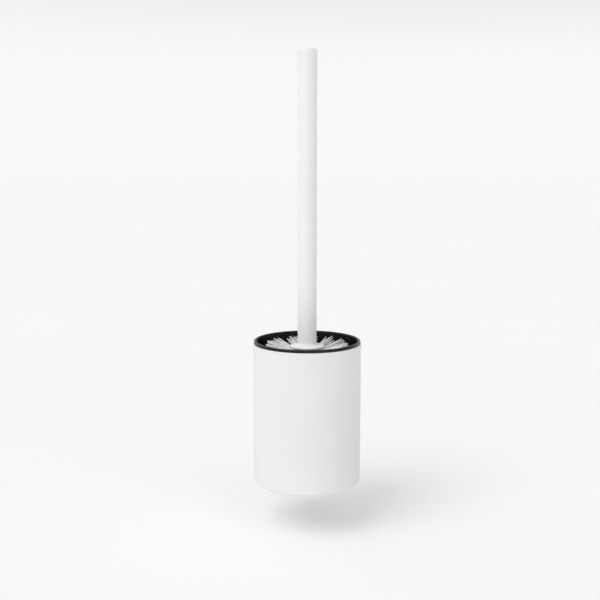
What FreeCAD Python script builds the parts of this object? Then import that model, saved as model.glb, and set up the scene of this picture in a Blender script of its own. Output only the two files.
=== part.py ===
import FreeCAD, Part
import math
import os

from FreeCAD import Placement, Rotation, Vector

# A wall-hung toilet brush set. A drawn steel holder hangs by a dovetail block on a small
# wall plate, a black liner with a rim stands in the holder, and the brush stands in the
# liner. The brush is a straight tubular handle that screws into a head of stapled tufts.
#
# Millimetres, +Z up, +Y into the wall, +X to the right of someone facing the wall.
# The origin is the centre of the wall plate's back face, which lies flat on the wall.

# Driving dimensions
SHELL_R = 50.0
SHELL_HEIGHT = 131.0
WALL_GAP = 20.0
TOTAL_HEIGHT = 395.0
BASE_Z = -83.0
EDGE_BREAK = 0.4
CUT_OVERRUN = 1.0

# Holder shell
SHELL_WALL = 1.2
SHELL_FOOT_ROUND = 3.0
SHELL_TOP_Z = BASE_Z + SHELL_HEIGHT
SHELL_BORE_R = SHELL_R - SHELL_WALL
AXIS_Y = -(SHELL_R + WALL_GAP)

# Wall plate: a dovetail, wider at the front than on the wall
PLATE_DEPTH = 8.0
PLATE_HALF_HEIGHT = 13.0
PLATE_BACK_HALF_WIDTH = 13.0
PLATE_FRONT_HALF_WIDTH = 16.0
PLATE_HOLE_SPACING = 17.0
PLATE_HOLE_R = 2.25
HEAD_POCKET_R = 4.3
HEAD_POCKET_DEPTH = 4.0

# Hanger block, which slides down over the wall plate
HANGER_HALF_WIDTH = 19.0
HANGER_BOTTOM_Z = -18.0
HANGER_TOP_Z = 22.0
HANGER_CORNER_R = 5.0
HANGER_OFF_WALL = 0.5
GROOVE_CLEARANCE = 0.15

# Button-head screws between the shell and the hanger block
SCREW_HEIGHTS = (17.0, 3.0)
SCREW_R = 1.95
SCREW_BORE_R = 2.0
SCREW_SHANK = 10.6
SCREW_BORE_DEPTH = 11.0
SCREW_HEAD_R = 3.5
SCREW_HEAD_HEIGHT = 2.2
SCREW_HEAD_ROUND = 1.4
SCREW_SOCKET = 2.5
SCREW_SOCKET_DEPTH = 1.3
SCREW_SEAT_GAP = 0.02

# Grub screw, which leans forward as it goes down and bears on the plate's front face
GRUB_R = 2.0
GRUB_BORE_R = 2.05
GRUB_LENGTH = 8.0
GRUB_SOCKET = 2.0
GRUB_SOCKET_DEPTH = 3.0
GRUB_TIP_Z = -6.0
GRUB_TIP_CLEARANCE = 0.02
GRUB_LEAN = 20.0

# Liner: a tapered cup with a straight neck in the shell's mouth and a rim on the shell's edge.
# Below the neck it narrows to its waist, so that it clears the screw heads inside the shell.
RIM_R = 49.3
RIM_HEIGHT = 2.7
RIM_ROUND = 0.9
NECK_OUTER_R = SHELL_BORE_R - 0.4
NECK_DEPTH = 8.0
WAIST_DEPTH = 22.0
LINER_WALL = 1.6
NECK_R = NECK_OUTER_R - LINER_WALL
WAIST_R = 44.0
LINER_FLOOR_R = 42.0
LINER_FLOOR_Z = BASE_Z + 12.0
LINER_FLOOR_THICKNESS = 1.8
LINER_FLOOR_ROUND = 6.0

# Handle tube and the cap that closes its top
HANDLE_R = 8.75
HANDLE_WALL = 1.2
HANDLE_BORE_R = HANDLE_R - HANDLE_WALL
HANDLE_TOP_Z = BASE_Z + TOTAL_HEIGHT
SPIGOT_R = HANDLE_BORE_R - 0.1
SPIGOT_CHAMFER = 0.8
CAP_HEIGHT = 2.0
CAP_ROUND = 0.8
CAP_SPIGOT = 12.0
CAP_SEAT_Z = HANDLE_TOP_Z - CAP_HEIGHT

# Drip collar at the handle's foot
COLLAR_R = 15.8
COLLAR_TOP_Z = SHELL_TOP_Z - 2.0
COLLAR_EDGE = 1.6
COLLAR_FLARE_HEIGHT = 2.2
COLLAR_FLARE_R = 3.0
COLLAR_SPIGOT = 20.0
COLLAR_BOTTOM_Z = COLLAR_TOP_Z - COLLAR_EDGE
TUBE_BOTTOM_Z = COLLAR_TOP_Z + COLLAR_FLARE_HEIGHT

# Threaded stud, fixed in the collar, and the washer under the collar
STUD_R = 4.95
STUD_IN_COLLAR = 12.0
STUD_IN_HEAD = 12.0
WASHER_THICKNESS = 1.0
WASHER_OUTER_R = 11.0
WASHER_INNER_R = 5.1

# Brush head core
CORE_R = 13.5
CORE_TOP_Z = COLLAR_BOTTOM_Z - WASHER_THICKNESS
CORE_BORE_R = 5.05
CORE_BORE_DEPTH = STUD_IN_HEAD + 2.0
DOME_Z = -35.0

# Tufts: each fans straight out from its hole, and a flat wire anchor holds it at the hole's floor
TIP_REACH = 39.4
TUFT_MOUTH_R = 1.6
TUFT_TIP_R = 4.2
TUFT_ROOT_DEPTH = 3.8
TUFT_HOLE_R = 1.65
TUFT_HOLE_DEPTH = 5.2
ANCHOR_WIDTH = 3.2
ANCHOR_DEPTH = 1.2
ANCHOR_THICKNESS = 0.4

# Rows of tufts: level rings round the core, then rings that lean down round the dome
TUFTS_PER_RING = 12
FIRST_TUFT_ANGLE = 23.0
RING_COUNT = 7
TOP_RING_Z = 39.5
RING_PITCH = 12.3
TOP_RING_TILT = 12.5
LAST_RING_TILT = -10.0
CROWN_COUNT = 8
CROWN_TILT = -34.0
TOE_COUNT = 5
TOE_TILT = -62.0
FLOOR_CLEARANCE = 0.3

Y_AXIS = Vector(0, 1, 0)
Z_AXIS = Vector(0, 0, 1)


def rounded_wire(corners):
    """A closed wire in the XZ plane from (x, z) corners; a corner (x, z, r) is rounded to r."""
    points = [Vector(corner[0], 0, corner[1]) for corner in corners]
    radii = [corner[2] if len(corner) > 2 else 0.0 for corner in corners]
    bends = []
    for i, (point, radius) in enumerate(zip(points, radii)):
        to_last = (points[i - 1] - point).normalize()
        to_next = (points[(i + 1) % len(points)] - point).normalize()
        half_angle = to_last.getAngle(to_next) / 2
        reach = radius / math.tan(half_angle)
        to_middle = (to_last + to_next).normalize() * (radius / math.sin(half_angle) - radius)
        bends.append((point + to_last * reach, point + to_middle, point + to_next * reach))
    edges = []
    for i, (start, middle, end) in enumerate(bends):
        if radii[i]:
            edges.append(Part.Arc(start, middle, end).toShape())
        next_start = bends[(i + 1) % len(bends)][0]
        if (next_start - end).Length > 1e-6:
            edges.append(Part.LineSegment(end, next_start).toShape())
    return Part.Wire(edges)


def turned(corners, axis_y=AXIS_Y):
    """A solid of revolution about the upright line x=0, y=axis_y, from (radius, z) corners."""
    solid = Part.Face(rounded_wire(corners)).revolve(Vector(0, 0, 0), Z_AXIS, 360)
    solid.translate(Vector(0, axis_y, 0))
    return solid


def hexagon(across_flats, low_z, high_z):
    """An upright hexagonal prism on the Z axis, to cut sockets with."""
    corner_r = across_flats / math.sqrt(3)
    angles = [math.radians(60 * i) for i in range(7)]
    corners = [Vector(corner_r * math.cos(a), corner_r * math.sin(a), low_z) for a in angles]
    return Part.Face(Part.makePolygon(corners)).extrude(Z_AXIS * (high_z - low_z))


def placed(shape, position, direction):
    """A copy of shape with its own +Z turned to direction and its origin at position."""
    moved = shape.copy()
    moved.Placement = Placement(position, Rotation(Z_AXIS, direction))
    return moved


def dovetail(growth, bottom_z, top_z, back_y):
    """The wall plate's tapering outline, grown sideways and forward by growth."""
    slope = (PLATE_FRONT_HALF_WIDTH - PLATE_BACK_HALF_WIDTH) / PLATE_DEPTH
    front_y = -(PLATE_DEPTH + growth)
    back_x = PLATE_BACK_HALF_WIDTH - slope * back_y + growth
    front_x = PLATE_BACK_HALF_WIDTH - slope * front_y + growth
    outline = [(-back_x, back_y), (back_x, back_y), (front_x, front_y), (-front_x, front_y)]
    corners = [Vector(x, y, bottom_z) for x, y in outline + outline[:1]]
    return Part.Face(Part.makePolygon(corners)).extrude(Z_AXIS * (top_z - bottom_z))


def wall_plate():
    """The plate that screws to the wall, with two countersunk pockets for the screw heads."""
    plate = dovetail(0.0, -PLATE_HALF_HEIGHT, PLATE_HALF_HEIGHT, 0.0)
    pocket_floor_y = HEAD_POCKET_DEPTH - PLATE_DEPTH
    for side in (-1, 1):
        x = side * PLATE_HOLE_SPACING / 2
        hole_start = Vector(x, CUT_OVERRUN, 0)
        hole = Part.makeCylinder(PLATE_HOLE_R, PLATE_DEPTH, hole_start, -Y_AXIS)
        pocket = Part.makeCylinder(HEAD_POCKET_R, PLATE_DEPTH, Vector(x, pocket_floor_y, 0), -Y_AXIS)
        plate = plate.cut([hole, pocket])
    return plate


def grub_line():
    """The centre of the grub screw's round tip, and the direction in which it backs out."""
    lean = math.radians(GRUB_LEAN)
    tip = Vector(0, -(PLATE_DEPTH + GRUB_R + GRUB_TIP_CLEARANCE), GRUB_TIP_Z)
    return tip, Vector(0, -math.sin(lean), -math.cos(lean))


def screw_bores(start_y):
    """The bores of the two holder screws, from start_y back towards the wall."""
    end_y = -WALL_GAP + SCREW_BORE_DEPTH - CUT_OVERRUN
    return [
        Part.makeCylinder(SCREW_BORE_R, end_y - start_y, Vector(0, start_y, z), Y_AXIS)
        for z in SCREW_HEIGHTS
    ]


def hanger_block():
    """The block between the shell and the wall, with a groove that is open at its bottom."""
    outline = [
        (-HANGER_HALF_WIDTH, HANGER_BOTTOM_Z, HANGER_CORNER_R),
        (HANGER_HALF_WIDTH, HANGER_BOTTOM_Z, HANGER_CORNER_R),
        (HANGER_HALF_WIDTH, HANGER_TOP_Z, HANGER_CORNER_R),
        (-HANGER_HALF_WIDTH, HANGER_TOP_Z, HANGER_CORNER_R),
    ]
    block = Part.Face(rounded_wire(outline)).extrude(-Y_AXIS * (SHELL_R - HANGER_OFF_WALL))
    block.translate(Vector(0, -HANGER_OFF_WALL, 0))
    front_corner = Vector(-SHELL_R, AXIS_Y - SHELL_R, BASE_Z)
    front = Part.makeBox(2 * SHELL_R, SHELL_R, SHELL_HEIGHT, front_corner)
    saddle = Part.makeCylinder(SHELL_R, SHELL_HEIGHT, Vector(0, AXIS_Y, BASE_Z))
    groove = dovetail(GROOVE_CLEARANCE, HANGER_BOTTOM_Z - CUT_OVERRUN, PLATE_HALF_HEIGHT, CUT_OVERRUN)
    tip, way_out = grub_line()
    bore_start = tip - way_out * GRUB_R
    grub_bore = Part.makeCylinder(GRUB_BORE_R, SHELL_R, bore_start, way_out)
    return block.cut([front, saddle, groove, grub_bore] + screw_bores(-WALL_GAP - CUT_OVERRUN))


def holder_screws():
    """Two button-head screws, from inside the shell into the hanger block."""
    head = turned([
        (0, -SCREW_HEAD_HEIGHT),
        (SCREW_HEAD_R, -SCREW_HEAD_HEIGHT, SCREW_HEAD_ROUND),
        (SCREW_HEAD_R, 0),
        (0, 0),
    ], axis_y=0)
    shank = Part.makeCylinder(SCREW_R, SCREW_SHANK)
    socket = hexagon(SCREW_SOCKET, -SCREW_HEAD_HEIGHT, SCREW_SOCKET_DEPTH - SCREW_HEAD_HEIGHT)
    screw = head.fuse(shank).removeSplitter().cut(socket)
    seat_y = AXIS_Y + math.sqrt(SHELL_BORE_R**2 - SCREW_HEAD_R**2) - SCREW_SEAT_GAP
    return Part.makeCompound([placed(screw, Vector(0, seat_y, z), Y_AXIS) for z in SCREW_HEIGHTS])


def grub_screw():
    """A set screw with a round tip and a hexagonal socket in its outer end."""
    tip, way_out = grub_line()
    body = Part.makeCylinder(GRUB_R, GRUB_LENGTH).fuse(Part.makeSphere(GRUB_R)).removeSplitter()
    socket = hexagon(GRUB_SOCKET, GRUB_LENGTH - GRUB_SOCKET_DEPTH, GRUB_LENGTH)
    return placed(body.cut(socket), tip, way_out)


def outer_shell():
    """The drawn can: one wall with its own floor, rounded at the foot."""
    can = turned([
        (0, BASE_Z),
        (SHELL_R, BASE_Z, SHELL_FOOT_ROUND),
        (SHELL_R, SHELL_TOP_Z, EDGE_BREAK),
        (SHELL_BORE_R, SHELL_TOP_Z),
        (SHELL_BORE_R, BASE_Z + SHELL_WALL, SHELL_FOOT_ROUND - SHELL_WALL),
        (0, BASE_Z + SHELL_WALL),
    ])
    return can.cut(screw_bores(-WALL_GAP - 3 * SHELL_WALL))


def liner_cup():
    """The tapered inner cup, with a thick rim that stands on the shell's top edge."""
    floor_underside_z = LINER_FLOOR_Z - LINER_FLOOR_THICKNESS
    neck_foot_z = SHELL_TOP_Z - NECK_DEPTH
    waist_z = SHELL_TOP_Z - WAIST_DEPTH
    rim_top_z = SHELL_TOP_Z + RIM_HEIGHT
    return turned([
        (0, floor_underside_z),
        (LINER_FLOOR_R + LINER_WALL, floor_underside_z, LINER_FLOOR_ROUND + LINER_WALL),
        (WAIST_R + LINER_WALL, waist_z),
        (NECK_OUTER_R, neck_foot_z),
        (NECK_OUTER_R, SHELL_TOP_Z),
        (RIM_R, SHELL_TOP_Z, EDGE_BREAK / 2),
        (RIM_R, rim_top_z, RIM_ROUND),
        (NECK_R, rim_top_z, RIM_ROUND),
        (NECK_R, neck_foot_z),
        (WAIST_R, waist_z),
        (LINER_FLOOR_R, LINER_FLOOR_Z, LINER_FLOOR_ROUND),
        (0, LINER_FLOOR_Z),
    ])


def handle_tube():
    """The straight tube, open at both ends."""
    return turned([
        (HANDLE_BORE_R, TUBE_BOTTOM_Z),
        (HANDLE_R, TUBE_BOTTOM_Z),
        (HANDLE_R, CAP_SEAT_Z),
        (HANDLE_BORE_R, CAP_SEAT_Z),
    ])


def handle_cap():
    """The flat plug that closes the tube's top."""
    return turned([
        (0, CAP_SEAT_Z - CAP_SPIGOT),
        (SPIGOT_R, CAP_SEAT_Z - CAP_SPIGOT, SPIGOT_CHAMFER),
        (SPIGOT_R, CAP_SEAT_Z),
        (HANDLE_R, CAP_SEAT_Z),
        (HANDLE_R, HANDLE_TOP_Z, CAP_ROUND),
        (0, HANDLE_TOP_Z),
    ])


def drip_collar():
    """A thin disc that flares up to the handle, with a spigot that fills the tube's foot."""
    stud_top_z = COLLAR_BOTTOM_Z + STUD_IN_COLLAR
    spigot_top_z = TUBE_BOTTOM_Z + COLLAR_SPIGOT
    return turned([
        (0, stud_top_z),
        (STUD_R, stud_top_z),
        (STUD_R, COLLAR_BOTTOM_Z),
        (COLLAR_R, COLLAR_BOTTOM_Z, EDGE_BREAK),
        (COLLAR_R, COLLAR_TOP_Z - EDGE_BREAK, EDGE_BREAK),
        (HANDLE_R, COLLAR_TOP_Z, COLLAR_FLARE_R),
        (HANDLE_R, TUBE_BOTTOM_Z),
        (SPIGOT_R, TUBE_BOTTOM_Z),
        (SPIGOT_R, spigot_top_z, SPIGOT_CHAMFER),
        (0, spigot_top_z),
    ])


def handle_stud():
    """The threaded stud that joins the handle to the head, plain at its thread's outer size."""
    return turned([
        (0, CORE_TOP_Z - STUD_IN_HEAD),
        (STUD_R, CORE_TOP_Z - STUD_IN_HEAD, SPIGOT_CHAMFER),
        (STUD_R, COLLAR_BOTTOM_Z + STUD_IN_COLLAR),
        (0, COLLAR_BOTTOM_Z + STUD_IN_COLLAR),
    ])


def head_washer():
    """The flat washer that the collar squeezes against the core."""
    return turned([
        (WASHER_INNER_R, CORE_TOP_Z),
        (WASHER_OUTER_R, CORE_TOP_Z),
        (WASHER_OUTER_R, COLLAR_BOTTOM_Z),
        (WASHER_INNER_R, COLLAR_BOTTOM_Z),
    ])


def ring_spots(count, first_angle, tilt, reach, root_z=None):
    """(root point, direction, length) of each tuft in a ring.

    With root_z the roots are on the core's side at that height, and reach is the tips' distance
    from the core's axis. Without it they are on the dome, and reach is from the dome's centre.
    """
    slope = math.radians(tilt)
    spots = []
    for i in range(count):
        turn = math.radians(first_angle + 360.0 * i / count)
        outward = Vector(math.cos(turn), math.sin(turn), 0)
        direction = outward * math.cos(slope) + Z_AXIS * math.sin(slope)
        if root_z is None:
            root = Vector(0, AXIS_Y, DOME_Z) + direction * CORE_R
            spots.append((root, direction, reach - CORE_R))
        else:
            root = Vector(0, AXIS_Y, root_z) + outward * CORE_R
            spots.append((root, direction, (reach - CORE_R) / math.cos(slope)))
    return spots


def tuft_rings():
    """Every ring of tufts by name: the level ones, the crown round the dome, and the toe below."""
    tilts = [TOP_RING_TILT] + [0.0] * (RING_COUNT - 2) + [LAST_RING_TILT]
    half_step = 180.0 / TUFTS_PER_RING
    rings = {}
    for i, tilt in enumerate(tilts):
        first_angle = FIRST_TUFT_ANGLE + half_step * (i % 2)
        root_z = TOP_RING_Z - RING_PITCH * i
        rings[f"ring_{i + 1}"] = ring_spots(TUFTS_PER_RING, first_angle, tilt, TIP_REACH, root_z)
    fall = DOME_Z - LINER_FLOOR_Z - FLOOR_CLEARANCE
    toe_slope = math.radians(-TOE_TILT)
    toe_reach = (fall - TUFT_TIP_R * math.cos(toe_slope)) / math.sin(toe_slope)
    rings["crown"] = ring_spots(CROWN_COUNT, 180.0 / CROWN_COUNT, CROWN_TILT, TIP_REACH)
    rings["toe"] = ring_spots(TOE_COUNT, 0.0, TOE_TILT, toe_reach) + ring_spots(1, 0.0, -90.0, fall)
    return rings


def anchor():
    """The flat wire under one tuft's root, on the floor of its hole."""
    corner = Vector(-ANCHOR_WIDTH / 2, -ANCHOR_THICKNESS / 2, -TUFT_ROOT_DEPTH - ANCHOR_DEPTH)
    return Part.makeBox(ANCHOR_WIDTH, ANCHOR_THICKNESS, ANCHOR_DEPTH, corner)


def tuft(length):
    """One tuft about +Z, a plain cone's stump with the core's surface at its origin."""
    root_r = TUFT_MOUTH_R - (TUFT_TIP_R - TUFT_MOUTH_R) * TUFT_ROOT_DEPTH / length
    return turned([
        (0, -TUFT_ROOT_DEPTH),
        (root_r, -TUFT_ROOT_DEPTH),
        (TUFT_TIP_R, length),
        (0, length),
    ], axis_y=0)


def head_core(spots):
    """The core: a rod with a domed end, a bore for the stud, and a blind hole for every tuft."""
    core = turned([
        (0, DOME_Z - CORE_R),
        (CORE_R, DOME_Z - CORE_R, CORE_R),
        (CORE_R, CORE_TOP_Z, EDGE_BREAK),
        (CORE_BORE_R, CORE_TOP_Z),
        (CORE_BORE_R, CORE_TOP_Z - CORE_BORE_DEPTH),
        (0, CORE_TOP_Z - CORE_BORE_DEPTH),
    ])
    hole = Part.makeCylinder(TUFT_HOLE_R, TUFT_HOLE_DEPTH + CUT_OVERRUN, Vector(0, 0, -TUFT_HOLE_DEPTH))
    return core.cut([placed(hole, root, direction) for root, direction, _ in spots])


def brush_head():
    """The core, its rings of tufts and the anchors that hold them."""
    rings = tuft_rings()
    every_spot = [spot for spots in rings.values() for spot in spots]
    parts = {"head_core": head_core(every_spot)}
    for name, spots in rings.items():
        tufts = [placed(tuft(length), root, direction) for root, direction, length in spots]
        parts[f"bristle_{name}"] = Part.makeCompound(tufts)
    anchors = [placed(anchor(), root, direction) for root, direction, _ in every_spot]
    parts["tuft_anchors"] = Part.makeCompound(anchors)
    return parts


def main():
    parts = {
        "wall_plate": wall_plate(),
        "outer_shell": outer_shell(),
        "hanger_block": hanger_block(),
        "holder_screws": holder_screws(),
        "grub_screw": grub_screw(),
        "liner_cup": liner_cup(),
        "head_washer": head_washer(),
        "drip_collar": drip_collar(),
        "handle_stud": handle_stud(),
        "handle_tube": handle_tube(),
        "handle_cap": handle_cap(),
    }
    parts.update(brush_head())
    os.makedirs("parts", exist_ok=True)
    for name, shape in parts.items():
        shape.exportStep(f"parts/{name}.step")
        print(f"{name}: {len(shape.Solids)} solids, valid {shape.isValid()}, {shape.Volume / 1000:.2f} cm3")


main()
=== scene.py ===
import math
import random

import bmesh
import bpy
import numpy as np
from mathutils import Matrix, Vector


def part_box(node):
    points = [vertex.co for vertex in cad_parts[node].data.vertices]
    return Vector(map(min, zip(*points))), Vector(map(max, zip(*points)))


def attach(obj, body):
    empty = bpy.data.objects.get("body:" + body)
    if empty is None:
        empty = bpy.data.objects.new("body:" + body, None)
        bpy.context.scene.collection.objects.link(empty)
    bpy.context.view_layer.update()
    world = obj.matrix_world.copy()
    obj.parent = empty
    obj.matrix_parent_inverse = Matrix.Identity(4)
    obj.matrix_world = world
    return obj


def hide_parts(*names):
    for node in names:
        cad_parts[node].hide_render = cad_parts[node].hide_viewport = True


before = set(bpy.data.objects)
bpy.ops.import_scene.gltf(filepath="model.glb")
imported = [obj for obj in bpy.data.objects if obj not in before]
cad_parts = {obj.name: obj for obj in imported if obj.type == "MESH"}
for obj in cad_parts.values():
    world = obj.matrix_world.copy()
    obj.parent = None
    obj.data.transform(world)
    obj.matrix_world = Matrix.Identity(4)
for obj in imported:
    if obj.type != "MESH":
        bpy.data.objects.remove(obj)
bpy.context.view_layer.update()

MM = 0.001
random.seed(290)

# Studio
CAMERA_DISTANCE = 0.800      # in front of the brush's axis
CAMERA_ABOVE_BASE = 0.2875
CAMERA_PITCH = math.radians(8.29)
CAMERA_YAW = math.radians(0.47)
CAMERA_LENS = 52.7
SENSOR_WIDTH = 36.0
CLIP_START = 0.05
CLIP_END = 200.0
FLOOR_BELOW_BASE = 0.045
FLOOR_RADIUS = 60.0
FLOOR_SIDES = 96

# The dome's brightness at the far left and far right, and how far to each side it changes.
# Near the horizon it gives way to an even light, over this span of the sine of the elevation.
DOME_LEFT_TO_RIGHT = (0.72, 0.37)
DOME_SIDE = 0.9
HORIZON_LIGHT = 0.95
HORIZON_FADE = (0.10, 0.35)

# Three soft round lights on the dome, in degrees. Azimuth 0 is in front of the holder and 90 to
# its right. A light is at full strength within its core and fades out at its edge.
SOFT_LIGHTS = (
    {"azimuth": -42, "elevation": 48, "core": 14, "edge": 26, "strength": 2.76},
    {"azimuth": 38, "elevation": 42, "core": 10, "edge": 24, "strength": 1.05},
    {"azimuth": 0, "elevation": 90, "core": 20, "edge": 50, "strength": 0.25},
)

# Bristles
FILAMENTS_PER_TUFT = 18
FILAMENT_R = 0.38 * MM
FILAMENT_TAPER = 0.15
FILAMENT_SIDES = 5
FILAMENT_ANGLES = [2 * math.pi * k / FILAMENT_SIDES for k in range(FILAMENT_SIDES)]
FILAMENT_STEPS = 5
FILAMENT_BOW = 0.6 * MM
FILAMENT_GREYS = (0.90, 0.98)
GOLDEN_ANGLE = math.pi * (3 - math.sqrt(5))
ANGLE_JITTER = 0.25
FAN_WIDTH = 6.0 * MM         # from the tuft's middle to its outer bristles' tips
FAN_HEIGHT = 4.6 * MM
FAN_VARIATION = (0.88, 1.12)
MOUTH_R = 1.25 * MM
MOUTH_SHARE = 0.12           # of a bristle's length, before the tuft begins to fan
TIP_UNEVENNESS = 2.2 * MM
ROUNDED_END = 1.2 * MM       # how much shorter the outer bristles are
UPRIGHT_SINE = 0.1           # a tuft this close to upright has no level side of its own
WELD_DISTANCE = 0.001 * MM

# The stud's metric thread
THREAD_PITCH = 1.5 * MM
THREAD_DEPTH = 0.92 * MM
CREST_SHARE = 0.125
ROOT_SHARE = 0.25
THREAD_ROWS = 16             # per turn
THREAD_SIDES = 48


# Where things are, from the frame

def axis_point(z):
    """The point at height z on the upright axis of the shell and brush."""
    low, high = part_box("outer_shell")
    return Vector(((low.x + high.x) / 2, (low.y + high.y) / 2, z))


BASE_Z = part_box("outer_shell")[0].z
CORE_TOP_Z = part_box("head_core")[1].z
DOME_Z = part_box("head_core")[0].z + (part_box("head_core")[1].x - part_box("head_core")[0].x) / 2


def camera():
    """A camera in front of the holder, at the height of its handle, that looks a little down."""
    data = bpy.data.cameras.new("camera")
    data.lens = CAMERA_LENS
    data.sensor_width = SENSOR_WIDTH
    data.clip_start = CLIP_START
    data.clip_end = CLIP_END
    view = bpy.data.objects.new("camera", data)
    view.location = axis_point(BASE_Z + CAMERA_ABOVE_BASE) - Vector((0, CAMERA_DISTANCE, 0))
    view.rotation_euler = (math.pi / 2 - CAMERA_PITCH, 0, CAMERA_YAW)
    bpy.context.scene.collection.objects.link(view)
    bpy.context.scene.camera = view


camera()


# Shader helpers

NOISE_SPAN = (0.3, 0.7)      # a noise's values seldom lie outside this


class Nodes:
    """A material's node tree, with short ways to add nodes and to link them."""

    def __init__(self, name):
        self.material = bpy.data.materials.new(name)
        self.material.use_nodes = True
        self.tree = self.material.node_tree
        self.shader = self.tree.nodes["Principled BSDF"]
        coordinates = self.tree.nodes.new("ShaderNodeTexCoord")
        self.place = coordinates.outputs["Object"]

    def link(self, source, target):
        self.tree.links.new(source, target)

    def stretched(self, x, y, z):
        """The place, scaled along each axis, so that a noise laid on it is squeezed."""
        mapping = self.tree.nodes.new("ShaderNodeMapping")
        mapping.inputs["Scale"].default_value = (x, y, z)
        self.link(self.place, mapping.inputs["Vector"])
        return mapping.outputs["Vector"]

    def noise(self, scale, detail=2.0, roughness=0.5, place=None):
        node = self.tree.nodes.new("ShaderNodeTexNoise")
        node.inputs["Scale"].default_value = scale
        node.inputs["Detail"].default_value = detail
        node.inputs["Roughness"].default_value = roughness
        self.link(place or self.place, node.inputs["Vector"])
        return node.outputs["Fac"]

    def ranged(self, source, low, high):
        """A noise as a number from low to high."""
        node = self.tree.nodes.new("ShaderNodeMapRange")
        node.inputs["From Min"].default_value = NOISE_SPAN[0]
        node.inputs["From Max"].default_value = NOISE_SPAN[1]
        node.inputs["To Min"].default_value = low
        node.inputs["To Max"].default_value = high
        self.link(source, node.inputs["Value"])
        return node.outputs["Result"]

    def blended(self, source, dark, light):
        """A noise as a colour from dark to light."""
        ramp = self.tree.nodes.new("ShaderNodeValToRGB")
        for element, colour, position in zip(ramp.color_ramp.elements, (dark, light), NOISE_SPAN):
            element.color = (*colour, 1)
            element.position = position
        self.link(source, ramp.inputs["Fac"])
        return ramp.outputs["Color"]

    def bumped(self, height, distance, below=None):
        """The surface's normal with bumps this high, on top of the bumps below."""
        node = self.tree.nodes.new("ShaderNodeBump")
        node.inputs["Distance"].default_value = distance
        self.link(height, node.inputs["Height"])
        if below is not None:
            self.link(below, node.inputs["Normal"])
        return node.outputs["Normal"]

    def set(self, **values):
        """Sets the shader's own sockets, with _ for a space in their names."""
        for name, value in values.items():
            self.shader.inputs[name.replace("_", " ")].default_value = value

    def finish(self, colour, roughness=None, normal=None):
        """The material, with these outputs linked to its shader."""
        self.link(colour, self.shader.inputs["Base Color"])
        if roughness is not None:
            self.link(roughness, self.shader.inputs["Roughness"])
        if normal is not None:
            self.link(normal, self.shader.inputs["Normal"])
        return self.material


def powder_coat(name, white):
    """Satin white powder coat: a fine orange peel over a slow drift in shade, up to this white. The white
    differs between the copies as painted light: the handle's copy is whiter than the holder's.
    """
    nodes = Nodes(name)
    drift = nodes.noise(14.0, detail=3.0)
    peel = nodes.noise(1100.0, detail=2.0)
    pores = nodes.noise(4200.0, detail=1.0)
    nodes.set(IOR=1.5, Specular_IOR_Level=0.16)
    below = nodes.bumped(peel, 0.020 * MM)
    normal = nodes.bumped(pores, 0.004 * MM, below=below)
    return nodes.finish(
        nodes.blended(drift, (white - 0.02,) * 3, (white,) * 3),
        nodes.ranged(nodes.noise(60.0), 0.40, 0.50),
        normal,
    )


def black_plastic():
    """Moulded black plastic with a fine spark-eroded grain."""
    nodes = Nodes("black_plastic")
    grain = nodes.noise(2600.0, detail=3.0, roughness=0.6)
    nodes.set(IOR=1.49, Specular_IOR_Level=0.30)
    return nodes.finish(
        nodes.blended(nodes.noise(40.0), (0.003, 0.003, 0.003), (0.006, 0.006, 0.006)),
        nodes.ranged(nodes.noise(180.0, detail=3.0), 0.24, 0.34),
        nodes.bumped(grain, 0.012 * MM),
    )


def white_plastic():
    """Moulded white plastic, a little warmer and softer than the coat."""
    nodes = Nodes("white_plastic")
    nodes.set(IOR=1.49)
    nodes.set(Subsurface_Weight=0.15, Subsurface_Scale=2 * MM, Subsurface_Radius=(1.0, 0.9, 0.8))
    grain = nodes.noise(1800.0, detail=2.0)
    return nodes.finish(
        nodes.blended(nodes.noise(30.0), (0.78, 0.78, 0.77), (0.81, 0.81, 0.80)),
        nodes.ranged(nodes.noise(90.0), 0.35, 0.45),
        nodes.bumped(grain, 0.008 * MM),
    )


def bristle_nylon():
    """Clear-white drawn nylon: light passes into it, and each filament differs a little in shade."""
    nodes = Nodes("bristle_nylon")
    shade = nodes.tree.nodes.new("ShaderNodeVertexColor")
    shade.layer_name = "shade"
    nodes.set(IOR=1.53, Roughness=0.32)
    nodes.set(Subsurface_Weight=0.35, Subsurface_Scale=1.5 * MM, Subsurface_Radius=(1.0, 1.0, 1.0))
    fleck = nodes.noise(900.0)
    tint = nodes.blended(fleck, (0.94, 0.94, 0.94), (1.0, 1.0, 1.0))
    mix = nodes.tree.nodes.new("ShaderNodeMix")
    mix.data_type = "RGBA"
    mix.blend_type = "MULTIPLY"
    mix.inputs["Factor"].default_value = 1.0
    nodes.link(shade.outputs["Color"], mix.inputs["A"])
    nodes.link(tint, mix.inputs["B"])
    return nodes.finish(mix.outputs["Result"], normal=nodes.bumped(fleck, 0.01 * MM))


def die_cast():
    """Bead-blasted zinc or aluminium casting."""
    nodes = Nodes("die_cast")
    nodes.set(Metallic=1.0)
    grain = nodes.noise(2000.0, detail=4.0, roughness=0.7)
    return nodes.finish(
        nodes.blended(nodes.noise(120.0, detail=4.0), (0.50, 0.51, 0.53), (0.60, 0.61, 0.63)),
        nodes.ranged(grain, 0.42, 0.62),
        nodes.bumped(grain, 0.02 * MM),
    )


def stainless_steel():
    """Machined stainless steel, with fine turning marks."""
    nodes = Nodes("stainless_steel")
    nodes.set(Metallic=1.0, Anisotropic=0.4)
    marks = nodes.noise(900.0, detail=3.0, place=nodes.stretched(1, 1, 6))
    return nodes.finish(
        nodes.blended(nodes.noise(300.0), (0.55, 0.55, 0.56), (0.66, 0.66, 0.66)),
        nodes.ranged(marks, 0.22, 0.36),
        nodes.bumped(marks, 0.006 * MM),
    )


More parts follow.
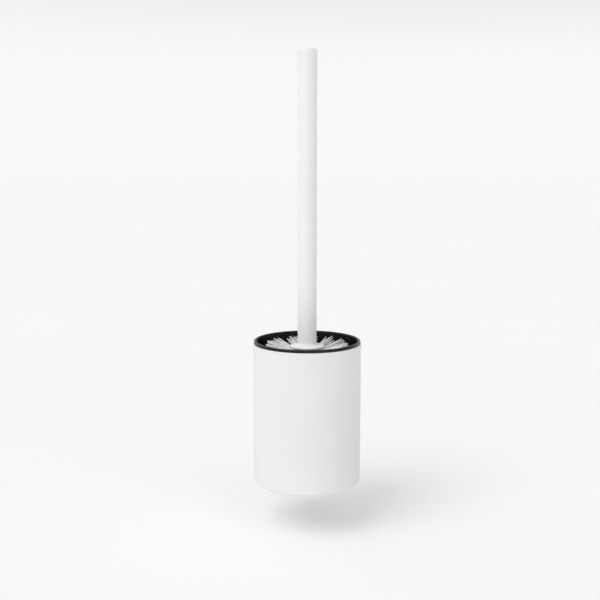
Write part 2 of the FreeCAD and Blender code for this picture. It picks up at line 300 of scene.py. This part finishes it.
def washer_rubber():
    """Dull black rubber with a fine bloom."""
    nodes = Nodes("washer_rubber")
    nodes.set(IOR=1.52)
    bloom = nodes.noise(700.0, detail=4.0)
    return nodes.finish(
        nodes.blended(bloom, (0.018, 0.018, 0.018), (0.035, 0.035, 0.034)),
        nodes.ranged(bloom, 0.65, 0.85),
        nodes.bumped(bloom, 0.015 * MM),
    )


def floor_paper():
    """Matte white studio paper."""
    nodes = Nodes("floor_paper")
    nodes.set(IOR=1.3, Specular_IOR_Level=0.0)
    return nodes.finish(
        nodes.blended(nodes.noise(3.0), (0.945, 0.945, 0.945), (0.955, 0.955, 0.955)),
        nodes.ranged(nodes.noise(50.0), 0.9, 1.0),
    )


def dress(material, *names):
    """Gives these CAD nodes the material."""
    for name in names:
        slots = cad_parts[name].data.materials
        slots.clear()
        slots.append(material)


# The handle and the holder get a lit and a shaded copy of one coat. The handle's is painted lighter, 0.83
# against 0.79, as painted light that falls more on the handle than on the can.
handle_coat_painted_light = powder_coat("white_powder_coat_handle_painted_light", 0.83)
core_plastic = white_plastic()
steel = stainless_steel()
nylon = bristle_nylon()
# The holder's copy of the coat is painted darker than the handle's, as painted shade.
dress(powder_coat("white_powder_coat_holder_painted_shade", 0.79), "outer_shell", "hanger_block")
dress(handle_coat_painted_light, "handle_tube", "drip_collar", "handle_cap")
dress(black_plastic(), "liner_cup")
dress(core_plastic, "head_core")
dress(die_cast(), "wall_plate")
dress(steel, "holder_screws", "grub_screw", "tuft_anchors")
dress(washer_rubber(), "head_washer")


# Bristles

def tuft_solids(node):
    """The corners of each separate tuft in a CAD node, one array for each."""
    mesh = bmesh.new()
    mesh.from_mesh(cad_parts[node].data)
    bmesh.ops.remove_doubles(mesh, verts=mesh.verts, dist=WELD_DISTANCE)
    seen = set()
    for start in mesh.verts:
        if start in seen:
            continue
        seen.add(start)
        solid = [start]
        for vertex in solid:
            for edge in vertex.link_edges:
                other = edge.other_vert(vertex)
                if other not in seen:
                    seen.add(other)
                    solid.append(other)
        yield np.array([vertex.co for vertex in solid])
    mesh.free()


def tuft_ends(corners):
    """The centres of a tuft's root and tip, from its corners: the long way is its principal axis."""
    middle = corners.mean(0)
    along = np.linalg.svd(corners - middle)[2][0]
    hub = axis_point(min(max(middle[2], DOME_Z), CORE_TOP_Z))
    if along @ (middle - np.array(hub)) < 0:
        along = -along
    reach = (corners - middle) @ along
    tip = corners[reach > reach.max() - MM].mean(0)
    root = corners[reach < reach.min() + MM].mean(0)
    return Vector(root), Vector(tip)


def filament(mesh, shade, line, grey):
    """A thin tube along a line of points, narrowing a little to a blunt tip."""
    rings = []
    for i, point in enumerate(line):
        ahead = line[min(i + 1, len(line) - 1)] - line[max(i - 1, 0)]
        turn = ahead.to_track_quat("Z", "Y")
        radius = FILAMENT_R * (1.0 - FILAMENT_TAPER * i / (len(line) - 1))
        rings.append([
            mesh.verts.new(point + turn @ Vector((radius * math.cos(a), radius * math.sin(a), 0)))
            for a in FILAMENT_ANGLES
        ])
    for low, high in zip(rings, rings[1:]):
        for k in range(FILAMENT_SIDES):
            after = (k + 1) % FILAMENT_SIDES
            mesh.faces.new((low[k], low[after], high[after], high[k]))
    mesh.faces.new(rings[-1])
    mesh.faces.new(list(reversed(rings[0])))
    for ring in rings:
        for vertex in ring:
            vertex[shade] = (grey, grey, grey, 1.0)


def tuft(mesh, shade, root, tip):
    """One bundle of filaments that leaves its hole straight and then fans out, wider than it is high."""
    along = (tip - root).normalized()
    level = along.cross(Vector((0, 0, 1)))
    level = level.normalized() if level.length > UPRIGHT_SINE else Vector((1, 0, 0))
    upright = level.cross(along).normalized()
    length = (tip - root).length
    for i in range(FILAMENTS_PER_TUFT):
        spread = math.sqrt((i + 0.5) / FILAMENTS_PER_TUFT)
        angle = GOLDEN_ANGLE * i + random.uniform(-ANGLE_JITTER, ANGLE_JITTER)
        across, up = spread * math.cos(angle), spread * math.sin(angle)
        wide = FAN_WIDTH * across * random.uniform(*FAN_VARIATION)
        high = FAN_HEIGHT * up * random.uniform(*FAN_VARIATION)
        bow = FILAMENT_BOW * random.uniform(-1, 1)
        droop = FILAMENT_BOW * random.uniform(-1, 1)
        own_length = length - TIP_UNEVENNESS * random.random() - ROUNDED_END * spread**2
        line = []
        for step in range(FILAMENT_STEPS + 1):
            share = step / FILAMENT_STEPS
            fan = max(0.0, share - MOUTH_SHARE) / (1 - MOUTH_SHARE)
            belly = 4 * fan * (1 - fan)
            line.append(
                root + along * (own_length * share)
                + level * (MOUTH_R * across * (1 - fan) + wide * fan + bow * belly)
                + upright * (MOUTH_R * up * (1 - fan) + high * fan + droop * belly)
            )
        filament(mesh, shade, line, random.uniform(*FILAMENT_GREYS))


def bristle_row(node):
    """Every tuft of a CAD node, as filaments."""
    mesh = bmesh.new()
    shade = mesh.verts.layers.float_color.new("shade")
    for corners in tuft_solids(node):
        tuft(mesh, shade, *tuft_ends(corners))
    row = add_piece(node.replace("bristle", "filaments"), mesh, nylon)
    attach(row, "brush_head")
    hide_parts(node)


def add_piece(name, mesh, material):
    """A smooth-shaded object made from the bmesh, in the scene."""
    data = bpy.data.meshes.new(name)
    mesh.normal_update()
    mesh.to_mesh(data)
    mesh.free()
    for face in data.polygons:
        face.use_smooth = True
    data.materials.append(material)
    piece = bpy.data.objects.new(name, data)
    bpy.context.scene.collection.objects.link(piece)
    return piece


for ring_name in [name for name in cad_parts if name.startswith("bristle_")]:
    bristle_row(ring_name)


# Threaded stud

def thread_offset(phase):
    """A metric thread's surface at a share of its pitch, as an offset from its outer radius: zero on
    the flat crest, minus the whole depth on the flat root, and straight flanks between them."""
    from_crest = abs(phase - 0.5) * 2
    slope = (from_crest - CREST_SHARE) / (1 - CREST_SHARE - ROOT_SHARE)
    return -THREAD_DEPTH * min(max(slope, 0.0), 1.0)


def threaded_stud():
    """The stud with its right-hand thread cut all the way, and a lead-in at its lower end."""
    low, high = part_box("handle_stud")
    outer_r = (high.x - low.x) / 2
    axis = axis_point(0)
    rows = round((high.z - low.z) / THREAD_PITCH * THREAD_ROWS)
    mesh = bmesh.new()
    rings = []
    for row in range(rows + 1):
        z = low.z + (high.z - low.z) * row / rows
        chamfer_r = outer_r - THREAD_DEPTH + (z - low.z)
        ring = []
        for k in range(THREAD_SIDES):
            angle = 2 * math.pi * k / THREAD_SIDES
            phase = ((z - low.z) / THREAD_PITCH - k / THREAD_SIDES) % 1.0
            radius = min(outer_r + thread_offset(phase), chamfer_r)
            ring.append(mesh.verts.new((
                axis.x + radius * math.cos(angle), axis.y + radius * math.sin(angle), z,
            )))
        rings.append(ring)
    for lower, upper in zip(rings, rings[1:]):
        for k in range(THREAD_SIDES):
            after = (k + 1) % THREAD_SIDES
            mesh.faces.new((lower[k], lower[after], upper[after], upper[k]))
    mesh.faces.new(rings[-1])
    mesh.faces.new(list(reversed(rings[0])))
    stud = add_piece("stud_thread", mesh, steel)
    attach(stud, "handle")
    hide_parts("handle_stud")


threaded_stud()


# Studio

def floor():
    """A wide pale floor below the holder."""
    mesh = bmesh.new()
    height = Matrix.Translation((0, 0, BASE_Z - FLOOR_BELOW_BASE))
    bmesh.ops.create_circle(mesh, cap_ends=True, segments=FLOOR_SIDES, radius=FLOOR_RADIUS, matrix=height)
    add_piece("floor", mesh, floor_paper())


def sky():
    """Even light at the horizon, which the floor fades into, under a dome with the soft lights."""
    world = bpy.data.worlds.new("studio")
    bpy.context.scene.world = world
    world.use_nodes = True
    tree = world.node_tree
    background = tree.nodes["Background"]
    place = tree.nodes.new("ShaderNodeTexCoord").outputs["Generated"]

    def math_node(operation, first, second):
        """The result of an operation on two numbers or node outputs."""
        node = tree.nodes.new("ShaderNodeMath")
        node.operation = operation
        for socket, value in zip(node.inputs, (first, second)):
            if isinstance(value, (int, float)):
                socket.default_value = value
            else:
                tree.links.new(value, socket)
        return node.outputs["Value"]

    def facing(azimuth, elevation):
        """The cosine of the angle between a direction and this one; azimuth 0 is the front."""
        side, up = math.radians(azimuth), math.radians(elevation)
        node = tree.nodes.new("ShaderNodeVectorMath")
        node.operation = "DOT_PRODUCT"
        node.inputs[1].default_value = (
            math.sin(side) * math.cos(up), -math.cos(side) * math.cos(up), math.sin(up),
        )
        tree.links.new(place, node.inputs[0])
        return node.outputs["Value"]

    def step(value, low, high, dark, light):
        """A smooth change from dark to light as the value goes from low to high."""
        node = tree.nodes.new("ShaderNodeMapRange")
        node.interpolation_type = "SMOOTHSTEP"
        node.inputs["From Min"].default_value = low
        node.inputs["From Max"].default_value = high
        node.inputs["To Min"].default_value = dark
        node.inputs["To Max"].default_value = light
        tree.links.new(value, node.inputs["Value"])
        return node.outputs["Result"]

    dome = step(facing(90, 0), -DOME_SIDE, DOME_SIDE, *DOME_LEFT_TO_RIGHT)
    for light in SOFT_LIGHTS:
        inner, outer = (math.cos(math.radians(light[key])) for key in ("core", "edge"))
        glow = step(facing(light["azimuth"], light["elevation"]), outer, inner, 0.0, light["strength"])
        dome = math_node("ADD", dome, glow)
    above = step(facing(0, 90), *HORIZON_FADE, 0.0, 1.0)
    lit = math_node("MULTIPLY", dome, above)
    flat = math_node("MULTIPLY", math_node("SUBTRACT", 1.0, above), HORIZON_LIGHT)
    tree.links.new(math_node("ADD", lit, flat), background.inputs["Strength"])
    background.inputs["Color"].default_value = (1.0, 1.0, 1.0, 1.0)


floor()
sky()
bpy.context.scene.view_settings.view_transform = "Standard"
